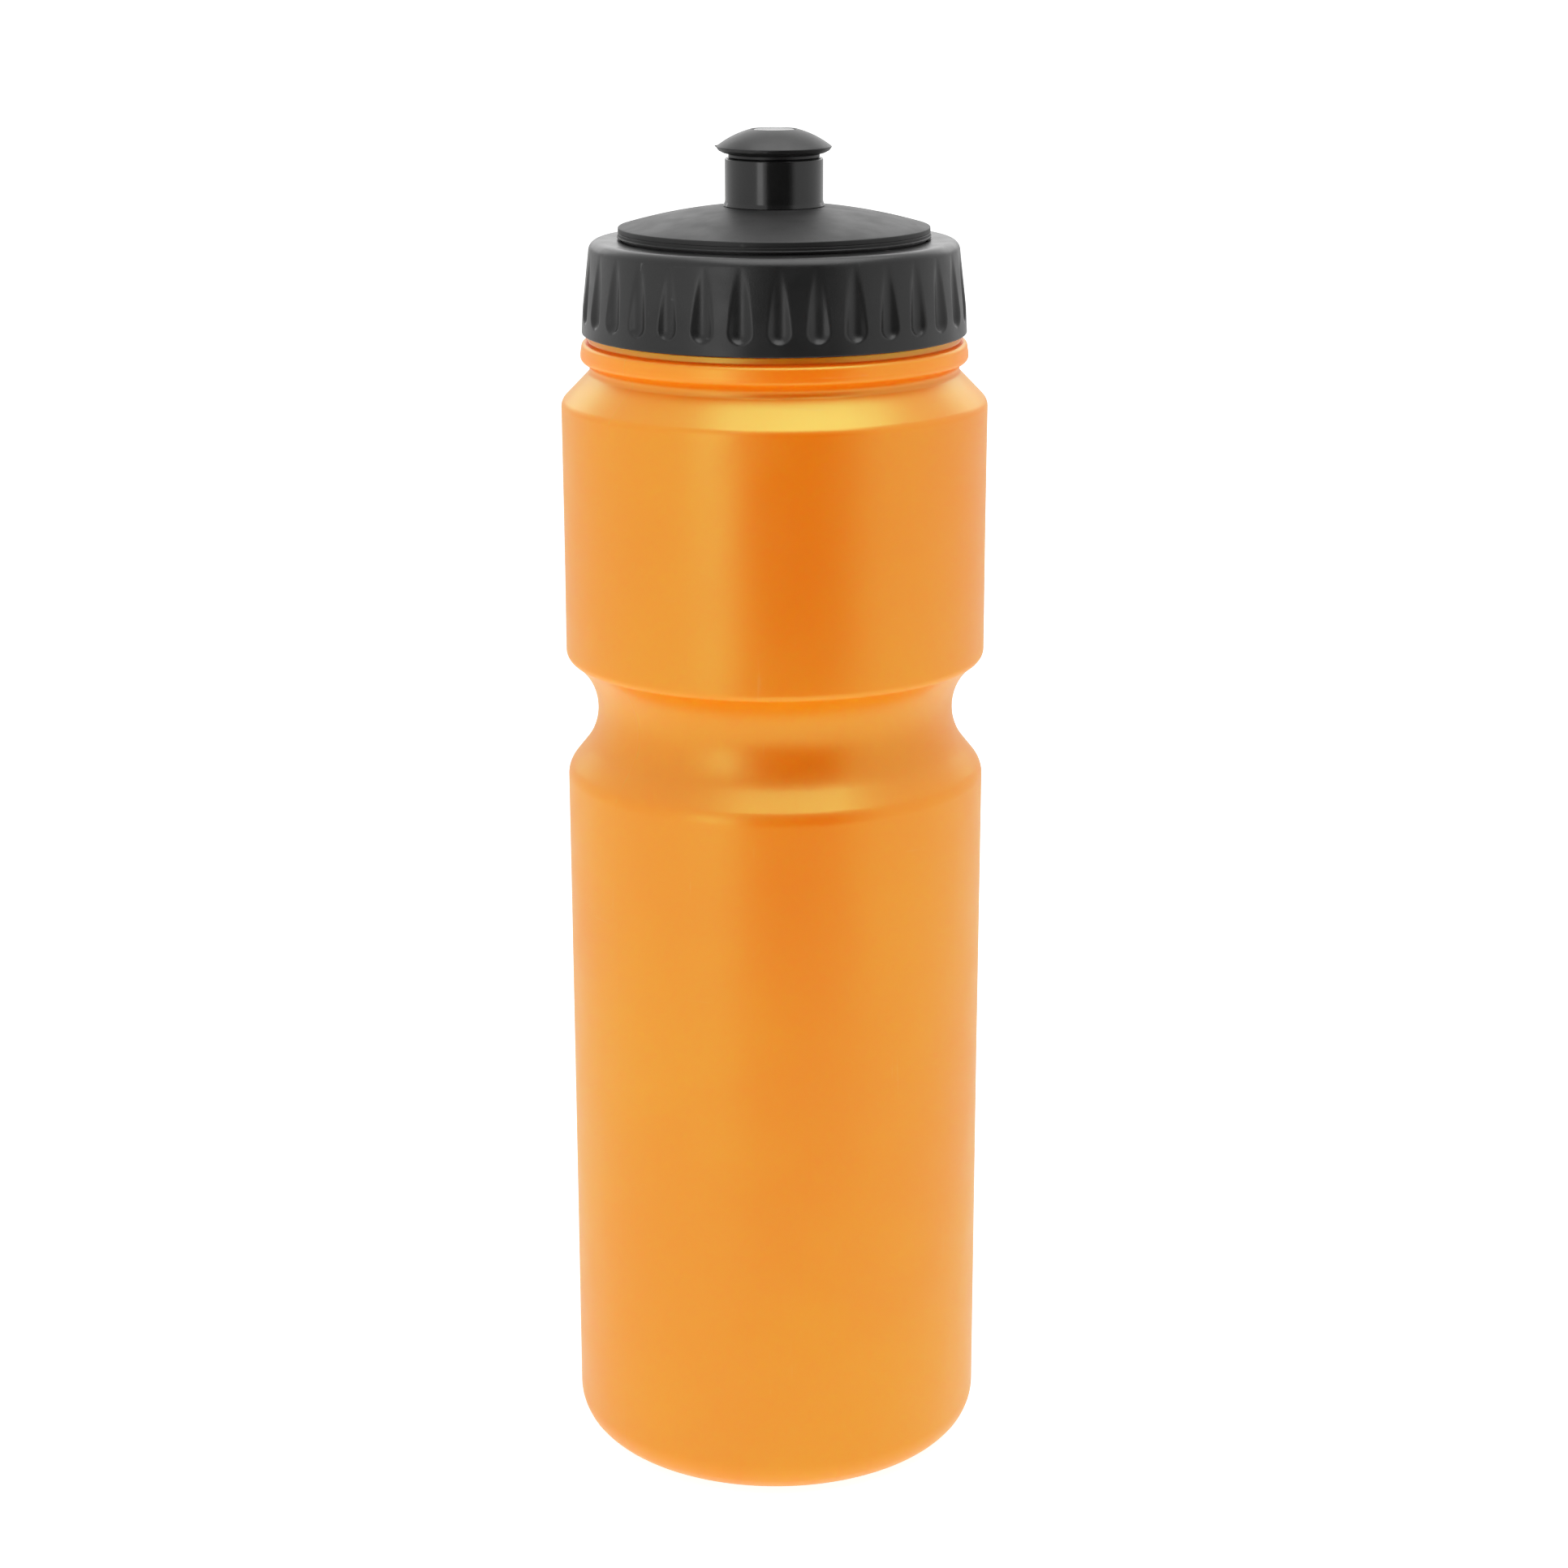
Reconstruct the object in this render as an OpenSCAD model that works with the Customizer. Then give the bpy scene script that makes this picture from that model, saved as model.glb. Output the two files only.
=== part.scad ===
// Sports squeeze bottle with a screw-on push-pull cap.
// Millimetres. +Z is up, the origin is the centre of the base, and the bottle stands on z = 0.

/* [Body] */
// Radius of the straight walls, which fits a 74 mm bottle cage
body_r = 37.05; // [35:0.05:39]
// Thickness of the blow-moulded wall
wall = 1.2; // [0.9:0.1:1.6]
// Radius of the corner at the base
base_corner = 6.8; // [5:0.1:8]
// Height of the push-up under the base
push_up = 3.2; // [2:0.1:3.8]
// Height where the waist's lower flank leaves the wall
waist_low_z = 127.5; // [124:0.1:127.5]
// Height where the waist's upper flank leaves the wall
waist_high_z = 148.2; // [148.2:0.1:151]
// Height where the shoulder leaves the wall
shoulder_z = 193.0; // [191:0.1:194]

/* [Neck] */
// Outer radius of the neck's plain wall
neck_r = 30.2; // [30:0.05:30.4]
// Radius of the mouth
mouth_r = 28.2; // [28:0.05:28.3]
// Height of the lip above the base
lip_z = 216.1; // [215.8:0.05:216.1]
// Outer radius of the bead under the cap
bead_r = 33.6; // [33.2:0.05:34]

/* [Screw thread] */
// Rise in one turn
thread_lead = 6; // [5.6:0.1:6.4]
// Crest radius on the neck
thread_r = 31.15; // [31:0.05:31.2]
// Turns of thread on the neck
neck_turns = 1.25; // [1:0.05:1.3]
// Turns of thread in the collar
collar_turns = 1.1; // [0.9:0.05:1.2]

/* [Cap] */
// Number of grip flutes
flute_count = 32; // [24:1:36]
// Radius of each flute's hollow
flute_r = 2.5; // [2:0.1:2.7]
// Depth of each flute at its lower end
flute_depth = 0.9; // [0.6:0.05:1]
// Radius of the raised disc of the lid
disc_r = 26.8; // [26.6:0.05:27.2]
// Radius of the sphere that the lid's top follows
dome_sphere_r = 95; // [85:1:110]

/* [Valve] */
// Outer radius of the spout barrel
barrel_r = 8.42; // [8.3:0.02:8.8]
// Outer radius of the mouthpiece's flange
mouthpiece_r = 9.9; // [9.5:0.05:10.4]
// Radius of the drinking hole
hole_r = 3.6; // [3.4:0.05:3.8]
// Travel of the valve from shut to open
valve_travel = 6.5; // [5:0.1:6.5]

/* [Hidden] */
$fn = 96;

orange = [0.95, 0.55, 0.13];
black = [0.09, 0.09, 0.095];
soft_black = [0.13, 0.13, 0.135];
natural = [0.85, 0.85, 0.82];

// Working clearances
gap = 0.1;
press_gap = 0.03;

// Heights of the closure, from the lip upward
gasket_t = 1.2;
flange_t = 1.55;
flange_z = lip_z + gasket_t;
collar_flange_z = flange_z + flange_t + 0.15;
collar_top_z = collar_flange_z + 1.6;
disc_low_z = collar_top_z + 0.4;
disc_top_z = disc_low_z + 1.7;
lid_t = 1.6;
dome_apex_z = disc_top_z + dome_sphere_r - sqrt(pow(dome_sphere_r, 2) - pow(disc_r, 2));
collar_low_z = lip_z - 11.4;
collar_bore_r = thread_r + 0.3;
flange_r = collar_bore_r - 0.6;

// Heights and radii of the valve
barrel_top_z = 234.25;
lid_hole_r = barrel_r - 0.32;
barrel_foot_z = dome_z(lid_hole_r) + 0.01;
barrel_low_z = 214;
barrel_bore_r = 7.3;
stem_r = 6.6;
stem_bore_r = 5.2;
stem_low_z = 221.3;
stem_top_z = 236.4;
stop_top_z = 225.3;
stop_r = barrel_bore_r - gap;
lip_stop_z = stop_top_z + valve_travel + 0.05;
gland_low_z = 222.5;
gland_high_z = 224;
gland_r = 5.98;
snap_z = 215.6;
mouthpiece_low_z = barrel_top_z + gap;
mouthpiece_rim_z = 236.0;
mouthpiece_top_z = 239.05;
crown_sphere_r = 16;
pin_tip_z = 239;
pin_tip_r = hole_r - 0.05;
pin_shaft_r = 2.2;

// Angle between the points of a rounded corner
corner_step = 9;

// Where an outline's corner at b, between a and c, starts, ends and turns, for a fillet of radius f
function unit(v) = v / norm(v);
function corner(a, b, c, f) =
    let (u = unit([a.x - b.x, a.y - b.y]),
         v = unit([c.x - b.x, c.y - b.y]),
         half = acos(max(-1, min(1, u * v))) / 2,
         reach = f / tan(half),
         centre = [b.x, b.y] + unit(u + v) * f / sin(half),
         s = [b.x, b.y] + u * reach - centre,
         e = [b.x, b.y] + v * reach - centre,
         from = atan2(s.y, s.x),
         turn = (atan2(e.y, e.x) - from + 540) % 360 - 180,
         n = max(2, ceil(abs(turn) / corner_step)))
    [for (k = [0:n]) centre + f * [cos(from + turn * k / n), sin(from + turn * k / n)]];

// An outline of [radius, height, fillet] points, with its corners rounded
function rounded(p) =
    [for (i = [0:len(p) - 1])
        let (a = p[(i + len(p) - 1) % len(p)], b = p[i], c = p[(i + 1) % len(p)])
        each (len(b) < 3 || b[2] == 0) ? [[b.x, b.y]] : corner(a, b, c, b[2])];

// The inner corners of a line of [radius, height, fillet] points, moved w into the wall
function inset(p, w) =
    [for (i = [1:len(p) - 2])
        let (u = unit([p[i].x - p[i - 1].x, p[i].y - p[i - 1].y]),
             v = unit([p[i + 1].x - p[i].x, p[i + 1].y - p[i].y]),
             shift = w * [-u.y - v.y, u.x + v.x] / (1 + u * v))
        [p[i].x + shift.x, p[i].y + shift.y, max(0, p[i][2] - w * sign(cross(u, v)))]];

// Height of the lid's top at radius r
function dome_z(r) = dome_apex_z - dome_sphere_r + sqrt(pow(dome_sphere_r, 2) - pow(r, 2));

// Points along a sphere of radius r under an apex at z, from radius r0 to r1
function cap_arc(r, z, r0, r1, n = 12) =
    [for (k = [0:n]) let (x = r0 + (r1 - r0) * k / n) [x, z - r + sqrt(r * r - x * x)]];

module turned(outline) {
    rotate_extrude() polygon(outline);
}

// A helical ridge from radius r_root to r_crest, which fades out at both ends
module thread_ridge(r_root, r_crest, z0, turns, root_w, crest_w, start = 0) {
    step = 6;
    fade = 24;
    n = round(turns * 360 / step);
    total = n * step;
    points = [for (k = [0:n])
        let (t = k * step,
             f = max(0.04, min(1, t / fade, (total - t) / fade)),
             z = z0 + thread_lead * t / 360,
             crest = r_root + (r_crest - r_root) * f,
             way = [cos(start + t), sin(start + t)])
        each [[r_root * way.x, r_root * way.y, z - root_w / 2],
              [crest * way.x, crest * way.y, z - crest_w / 2],
              [crest * way.x, crest * way.y, z + crest_w / 2],
              [r_root * way.x, r_root * way.y, z + root_w / 2]]];
    sides = [for (k = [0:n - 1], j = [0:3])
        let (a = 4 * k + j, b = 4 * k + (j + 1) % 4)
        [a, b, b + 4, a + 4]];
    outward = r_crest > r_root;
    faces = concat(sides, [[3, 2, 1, 0]], [[4 * n, 4 * n + 1, 4 * n + 2, 4 * n + 3]]);
    polyhedron(points, outward ? faces : [for (f = faces) [for (i = [len(f) - 1:-1:0]) f[i]]],
               convexity = 6);
}

// The wall's outer line, from the base to the foot of the neck. The waist's two flanks would
// meet at an apex, and one large concave radius blends them.
foot_in_r = 28.4;
shoulder = [body_r, shoulder_z, 2.2];
valley = [31.7, 198.9, 0.5];
wall_line = [
    [0, push_up],
    [foot_in_r - 5, push_up, 3],
    [foot_in_r, 0, 0.8],
    [body_r, 0, base_corner],
    [body_r, waist_low_z, 4.1],
    [body_r - 10.45, 140.6, 11.5],
    [body_r, waist_high_z, 1.7],
    shoulder,
    valley];
bead_low_z = 200.0;
bead_top_z = 203.15;
thread_z0 = 206.3;

module bottle_body() {
    outside = rounded(concat(wall_line, [
        [bead_r, bead_low_z, 0.8],
        [bead_r, bead_low_z + 1.1, 1.5],
        [bead_r - 0.3, bead_top_z, 0.9],
        [neck_r, bead_top_z, 0.4],
        [neck_r, lip_z, 0.3],
        [0, lip_z]]));
    // Inside, the shoulder's slope runs on until it meets the mouth's straight bore
    inner = inset(wall_line, wall);
    inner_shoulder = inner[len(inner) - 1];
    slope = (valley.y - shoulder.y) / (shoulder.x - valley.x);
    inside = rounded(concat(
        [[0, push_up + wall]],
        inner,
        [[mouth_r, inner_shoulder.y + (inner_shoulder.x - mouth_r) * slope, 1.5],
         [mouth_r, lip_z + 1],
         [0, lip_z + 1]]));
    color(orange) {
        difference() {
            turned(outside);
            turned(inside);
        }
        thread_ridge(neck_r - 0.4, thread_r, thread_z0, neck_turns, 2.6, 1.2);
    }
}

module screw_collar() {
    outline = rounded([
        [collar_bore_r + 0.35, collar_low_z],
        [33.3, collar_low_z, 0.25],
        [33.05, collar_low_z + 4.6, 20],
        [31.75, collar_top_z, 2.3],
        [disc_r - 0.35, collar_top_z, 0.15],
        [disc_r - 0.35, collar_flange_z, 0.15],
        [flange_r + 0.2, collar_flange_z, 0.3],
        [flange_r + 0.2, lip_z + 0.1],
        [collar_bore_r, lip_z - 0.3],
        [collar_bore_r, collar_low_z + 0.6]]);
    // Each flute is a leaning cylinder with a round lower end, and fades out at its tip
    floor_low_r = 33.1 - flute_depth;
    tip_r = 31.97;
    tip_z = collar_low_z + 13.4;
    flute_low_z = collar_low_z + 2.3 + flute_r * 0.72;
    lean = atan((floor_low_r - tip_r) / (tip_z - flute_low_z));
    phase = 1.6;
    color(black) {
        difference() {
            turned(outline);
            for (i = [0:flute_count - 1])
                rotate(-90 + phase + 360 * i / flute_count)
                    translate([floor_low_r + flute_r, 0, flute_low_z]) {
                        sphere(r = flute_r, $fn = 48);
                        rotate([0, -lean, 0]) cylinder(h = 15, r = flute_r, $fn = 48);
                    }
        }
        // The collar's ridge runs between the turns of the neck's ridge, just under its lower flank
        thread_ridge(collar_bore_r + 0.35, neck_r + 0.3, thread_z0 + 0.8, collar_turns, 2.8, 1.2,
                     start = 180);
    }
}

module dome_lid() {
    rim_in = 24.4;
    groove_r = disc_r - 0.7;
    skirt_r = mouth_r - 0.4;
    skirt_low_z = flange_z - 3;
    outline = concat(
        cap_arc(dome_sphere_r, dome_apex_z, lid_hole_r, disc_r - 0.25),
        [[disc_r, disc_top_z - 0.3],
         [disc_r, disc_low_z],
         [groove_r, disc_low_z],
         [groove_r, flange_z + flange_t],
         [flange_r, flange_z + flange_t],
         [flange_r, flange_z],
         [skirt_r, flange_z],
         [skirt_r, skirt_low_z + 0.5],
         [skirt_r - 0.4, skirt_low_z],
         [skirt_r - 1.2, skirt_low_z],
         [skirt_r - 1.2, flange_z],
         [rim_in, flange_z]],
        cap_arc(dome_sphere_r - lid_t, dome_apex_z - lid_t, rim_in, lid_hole_r));
    color(black) turned(outline);
}

module lid_gasket() {
    color(natural)
        turned(rounded([
            [mouth_r - 0.25, lip_z, 0.2],
            [neck_r + 0.4, lip_z, 0.2],
            [neck_r + 0.4, flange_z, 0.2],
            [mouth_r - 0.25, flange_z, 0.2]]));
}

module spout_barrel() {
    spigot_r = lid_hole_r - 0.05;
    under_z = dome_apex_z - lid_t - 0.45;
    color(black)
        turned(rounded([
            [stem_r + gap, barrel_top_z, 0.15],
            [barrel_r, barrel_top_z, 0.3],
            [barrel_r, barrel_foot_z + 1, 1.5],
            [barrel_r + 0.55, barrel_foot_z],
            [spigot_r, barrel_foot_z],
            [spigot_r, under_z],
            [spigot_r + 0.45, under_z - 0.25],
            [spigot_r + 0.45, under_z - 0.9],
            [spigot_r, under_z - 1.6],
            [spigot_r, barrel_low_z, 0.2],
            [barrel_bore_r, barrel_low_z, 0.2],
            [barrel_bore_r, snap_z - 0.5],
            [barrel_bore_r + 0.2, snap_z - 0.3],
            [barrel_bore_r + 0.2, snap_z + 0.3],
            [barrel_bore_r, snap_z + 0.5],
            [barrel_bore_r, lip_stop_z],
            [stem_r + gap, lip_stop_z + 0.1]]));
}

module seal_pin() {
    ring_r = barrel_bore_r - press_gap;
    ring_low_z = snap_z - 1;
    ring_h = 2;
    arm_w = 1.6;
    color(black) {
        turned(rounded([
            [0, ring_low_z],
            [pin_shaft_r, ring_low_z],
            [pin_shaft_r, 233.8, 1],
            [pin_tip_r, 235.8, 0.4],
            [pin_tip_r, pin_tip_z, 0.35],
            [0, pin_tip_z]]));
        turned([
            [5.9, ring_low_z],
            [ring_r, ring_low_z],
            [ring_r, snap_z - 0.35],
            [ring_r + 0.18, snap_z - 0.2],
            [ring_r + 0.18, snap_z + 0.2],
            [ring_r, snap_z + 0.35],
            [ring_r, ring_low_z + ring_h],
            [5.9, ring_low_z + ring_h]]);
        for (a = [30, 150, 270])
            rotate(a)
                translate([1, -arm_w / 2, ring_low_z])
                    cube([5.5, arm_w, ring_h]);
    }
}

module valve_stem() {
    ridge_z = 235.8;
    color(black)
        turned(rounded([
            [stem_bore_r, stem_low_z, 0.2],
            [stop_r, stem_low_z, 0.3],
            [stop_r, gland_low_z],
            [gland_r, gland_low_z],
            [gland_r, gland_high_z],
            [stop_r, gland_high_z],
            [stop_r, stop_top_z],
            [stem_r, stop_top_z],
            [stem_r, ridge_z - 0.3],
            [stem_r + 0.25, ridge_z - 0.1],
            [stem_r + 0.25, ridge_z + 0.1],
            [stem_r, ridge_z + 0.3],
            [stem_r, stem_top_z, 0.2],
            [stem_bore_r, stem_top_z, 0.2]]));
}

module stem_o_ring() {
    cord_r = (barrel_bore_r - gland_r) / 2 - 0.01;
    color(soft_black)
        rotate_extrude()
            translate([(barrel_bore_r + gland_r) / 2, (gland_low_z + gland_high_z) / 2])
                circle(r = cord_r, $fn = 48);
}

module mouthpiece() {
    neck = 7.8;
    ridge_z = 235.8;
    bore = stem_r + 0.02;
    apex_z = mouthpiece_top_z - 0.02 + crown_sphere_r
        - sqrt(pow(crown_sphere_r, 2) - pow(hole_r + 0.5, 2));
    outline = concat(
        cap_arc(crown_sphere_r, apex_z, hole_r + 0.5, mouthpiece_r - 0.2),
        [[mouthpiece_r, mouthpiece_rim_z + 0.1],
         [mouthpiece_r - 0.05, mouthpiece_rim_z - 0.1],
         [mouthpiece_r - 0.4, mouthpiece_rim_z - 0.5],
         [mouthpiece_r - 1.2, mouthpiece_rim_z - 0.9],
         [neck, mouthpiece_rim_z - 1.1],
         [neck, mouthpiece_low_z],
         [bore, mouthpiece_low_z],
         [bore, ridge_z - 0.35],
         [bore + 0.27, ridge_z - 0.12],
         [bore + 0.27, ridge_z + 0.12],
         [bore, ridge_z + 0.35],
         [bore, stem_top_z + 0.02],
         [hole_r, stem_top_z + 0.02],
         [hole_r, mouthpiece_top_z - 0.5]]);
    color(soft_black) turned(outline);
}

bottle_body();
screw_collar();
dome_lid();
lid_gasket();
spout_barrel();
seal_pin();
valve_stem();
stem_o_ring();
mouthpiece();
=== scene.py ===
"""Sports squeeze bottle with a screw-on push-pull cap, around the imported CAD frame.

Outlines are in millimetres, as (radius, height) or (radius, height, fillet), with the bottle's
axis at radius 0. Meshes, lights and the camera are in metres. The front of the bottle faces -Y.
"""

import math

import bpy
import numpy as np
from mathutils import Matrix, Vector


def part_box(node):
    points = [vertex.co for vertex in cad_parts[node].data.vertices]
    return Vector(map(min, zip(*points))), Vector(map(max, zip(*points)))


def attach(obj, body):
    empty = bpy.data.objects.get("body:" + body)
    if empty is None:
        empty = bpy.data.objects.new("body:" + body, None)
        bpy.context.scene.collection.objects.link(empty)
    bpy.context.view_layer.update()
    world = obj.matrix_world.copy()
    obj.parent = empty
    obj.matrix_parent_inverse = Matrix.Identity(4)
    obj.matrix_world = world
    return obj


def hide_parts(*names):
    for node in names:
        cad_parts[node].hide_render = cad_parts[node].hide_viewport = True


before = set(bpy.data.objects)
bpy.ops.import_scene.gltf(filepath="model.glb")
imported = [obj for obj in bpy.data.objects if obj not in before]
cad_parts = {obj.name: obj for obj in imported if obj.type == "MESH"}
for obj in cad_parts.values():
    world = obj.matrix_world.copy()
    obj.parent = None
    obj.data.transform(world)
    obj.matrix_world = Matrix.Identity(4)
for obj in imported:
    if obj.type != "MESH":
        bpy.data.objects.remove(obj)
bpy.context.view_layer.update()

MM = 0.001


def size_of(node):
    """Outer radius, lowest and highest point of a CAD node, in millimetres."""
    low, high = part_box(node)
    return high.x / MM, low.z / MM, high.z / MM


BODY_R, _, LIP_Z = size_of("bottle_body")
COLLAR_R, COLLAR_LOW_Z, COLLAR_TOP_Z = size_of("screw_collar")
FLANGE_R, SKIRT_LOW_Z, _ = size_of("dome_lid")
BARREL_FOOT_R, BARREL_LOW_Z, BARREL_TOP_Z = size_of("spout_barrel")
STOP_R, STEM_LOW_Z, STEM_TOP_Z = size_of("valve_stem")
MOUTHPIECE_R, MOUTHPIECE_LOW_Z, MOUTHPIECE_TOP_Z = size_of("mouthpiece")
_, _, GASKET_TOP_Z = size_of("lid_gasket")

WALL = 1.2
NECK_R = 30.2
MOUTH_R = 28.2
THREAD_LEAD = 6.0
THREAD_Z = 206.3
THREAD_DEPTH = 0.95
THREAD_CREST = 0.6
COLLAR_BORE_R = 31.45
DISC_R = 26.8
FLUTES = 32
FLUTE_PHASE = math.radians(1.6)
FRONT = math.radians(-90)
# The mould's two parting lines, on opposite sides
SEAMS = [FRONT + math.radians(a) for a in (-48, 132)]


# ---------------------------------------------------------------- outlines

def corner(a, b, c, radius, step):
    """Points of the arc that rounds the corner at b, between a and c."""
    u, v = a - b, c - b
    u, v = u / np.linalg.norm(u), v / np.linalg.norm(v)
    half = math.acos(max(-1, min(1, float(u @ v)))) / 2
    middle = (u + v) / np.linalg.norm(u + v)
    centre = b + middle * radius / math.sin(half)
    first, last = (b + w * radius / math.tan(half) - centre for w in (u, v))
    start = math.atan2(first[1], first[0])
    turn = (math.atan2(last[1], last[0]) - start + 3 * math.pi) % (2 * math.pi) - math.pi
    count = max(3, math.ceil(abs(turn) / math.radians(step)))
    angles = start + turn * np.arange(count + 1) / count
    return centre + radius * np.stack([np.cos(angles), np.sin(angles)], 1)


def rounded(outline, step=6):
    """The outline with its corners rounded, as an array of (radius, height)."""
    flat = np.array([p[:2] for p in outline], float)
    rows = []
    for i, p in enumerate(outline):
        if len(p) == 3 and p[2] > 0:
            rows.append(corner(flat[i - 1], flat[i], flat[(i + 1) % len(flat)], p[2], step))
        else:
            rows.append(flat[i:i + 1])
    return np.concatenate(rows)


def refined(points, longest, closed=True):
    """The outline with its long straight stretches cut up, finer towards their ends."""
    last = len(points) if closed else len(points) - 1
    rows = []
    for i in range(last):
        a, b = points[i], points[(i + 1) % len(points)]
        count = max(1, math.ceil(np.linalg.norm(b - a) / longest))
        share = (1 - np.cos(np.pi * np.arange(count) / count)) / 2
        rows.append(a + (b - a) * share[:, None])
    if not closed:
        rows.append(points[-1:])
    return np.concatenate(rows)


def inset(outline, depth):
    """The inner corners of a line of (radius, height, fillet), moved into the wall."""
    flat = np.array([p[:2] for p in outline], float)
    inner = []
    for i in range(1, len(outline) - 1):
        u, v = flat[i] - flat[i - 1], flat[i + 1] - flat[i]
        u, v = u / np.linalg.norm(u), v / np.linalg.norm(v)
        shift = depth * np.array([-u[1] - v[1], u[0] + v[0]]) / (1 + u @ v)
        bend = np.sign(u[0] * v[1] - u[1] * v[0])
        inner.append((*(flat[i] + shift), max(0, outline[i][2] - depth * bend)))
    return inner


def sphere_line(sphere_r, top_z, r0, r1, count):
    """Points down a sphere whose highest point is at top_z, from radius r0 to r1."""
    r = np.linspace(r0, r1, count)
    return list(zip(r, top_z - sphere_r + np.sqrt(sphere_r ** 2 - r ** 2)))


# ---------------------------------------------------------------- meshes

def even_angles(count):
    return np.arange(count) * 2 * math.pi / count


def lathe(name, outline, angles, relief=None):
    """A closed surface of revolution, from a closed outline or from one that starts and ends
    on the axis. relief(radius, height, angle) moves the grid's points."""
    outline = np.array(outline, float)
    on_axis = outline[0, 0] == 0
    ring = np.roll(outline, -1, 0)
    if np.sum(outline[:, 0] * ring[:, 1] - ring[:, 0] * outline[:, 1]) < 0:
        outline = outline[::-1]
    radius, angle = np.meshgrid(outline[:, 0], angles, indexing="ij")
    height = np.repeat(outline[:, 1:], len(angles), 1)
    if relief:
        radius, height, angle = relief(radius, height, angle)
    xyz = MM * np.stack([radius * np.cos(angle), radius * np.sin(angle), height], -1)
    rows, columns = radius.shape
    grid = np.arange(rows * columns).reshape(rows, columns)
    around = np.roll(grid, -1, 1)
    quads = [np.stack([grid[:-1], around[:-1], around[1:], grid[1:]], -1)]
    if not on_axis:
        quads.append(np.stack([grid[-1:], around[-1:], around[:1], grid[:1]], -1))
    faces = np.concatenate([q.reshape(-1, 4) for q in quads])
    points = xyz.reshape(-1, 3)
    if on_axis:
        grid[0], grid[-1] = grid[0, 0], grid[-1, 0]
        faces = grid.reshape(-1)[faces]
    faces = [tuple(dict.fromkeys(f)) for f in faces.tolist()]
    used, index = np.unique([v for f in faces for v in f], return_inverse=True)
    starts = np.cumsum([0] + [len(f) for f in faces])
    faces = [index[a:b].tolist() for a, b in zip(starts[:-1], starts[1:])]
    mesh = bpy.data.meshes.new(name)
    mesh.from_pydata(points[used].tolist(), [], faces)
    mesh.polygons.foreach_set("use_smooth", [True] * len(mesh.polygons))
    mesh.set_sharp_from_angle(angle=math.radians(38))
    mesh.update()
    piece = bpy.data.objects.new(name, mesh)
    bpy.context.scene.collection.objects.link(piece)
    return piece


def finish_piece(piece, body, node, material):
    piece.data.materials.append(material)
    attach(piece, body)
    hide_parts(node)


def bump_at(distance, width):
    """1 at distance 0, and nothing beyond about twice the width."""
    return np.exp(-(distance / width) ** 2)


def off_axis(angle, line):
    """Signed angle from a line at that angle, between -pi and pi."""
    return (angle - line + math.pi) % (2 * math.pi) - math.pi


def thread(height, angle, z0, start, turns, foot):
    """Share of the thread's depth at each point. foot and THREAD_CREST are half widths."""
    run_in = math.radians(24)
    share = np.zeros_like(height)
    for turn in range(math.ceil(turns)):
        along = (angle - start) % (2 * math.pi) + turn * 2 * math.pi
        ridge_z = z0 + THREAD_LEAD * along / (2 * math.pi)
        left = np.minimum(along, turns * 2 * math.pi - along) / run_in
        flank = np.clip((foot - abs(height - ridge_z)) / (foot - THREAD_CREST), 0, 1)
        ramp = flank * flank * (3 - 2 * flank) * np.clip(left, 0, 1)
        share = np.maximum(share, ramp)
    return share


# ---------------------------------------------------------------- the pieces

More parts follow.
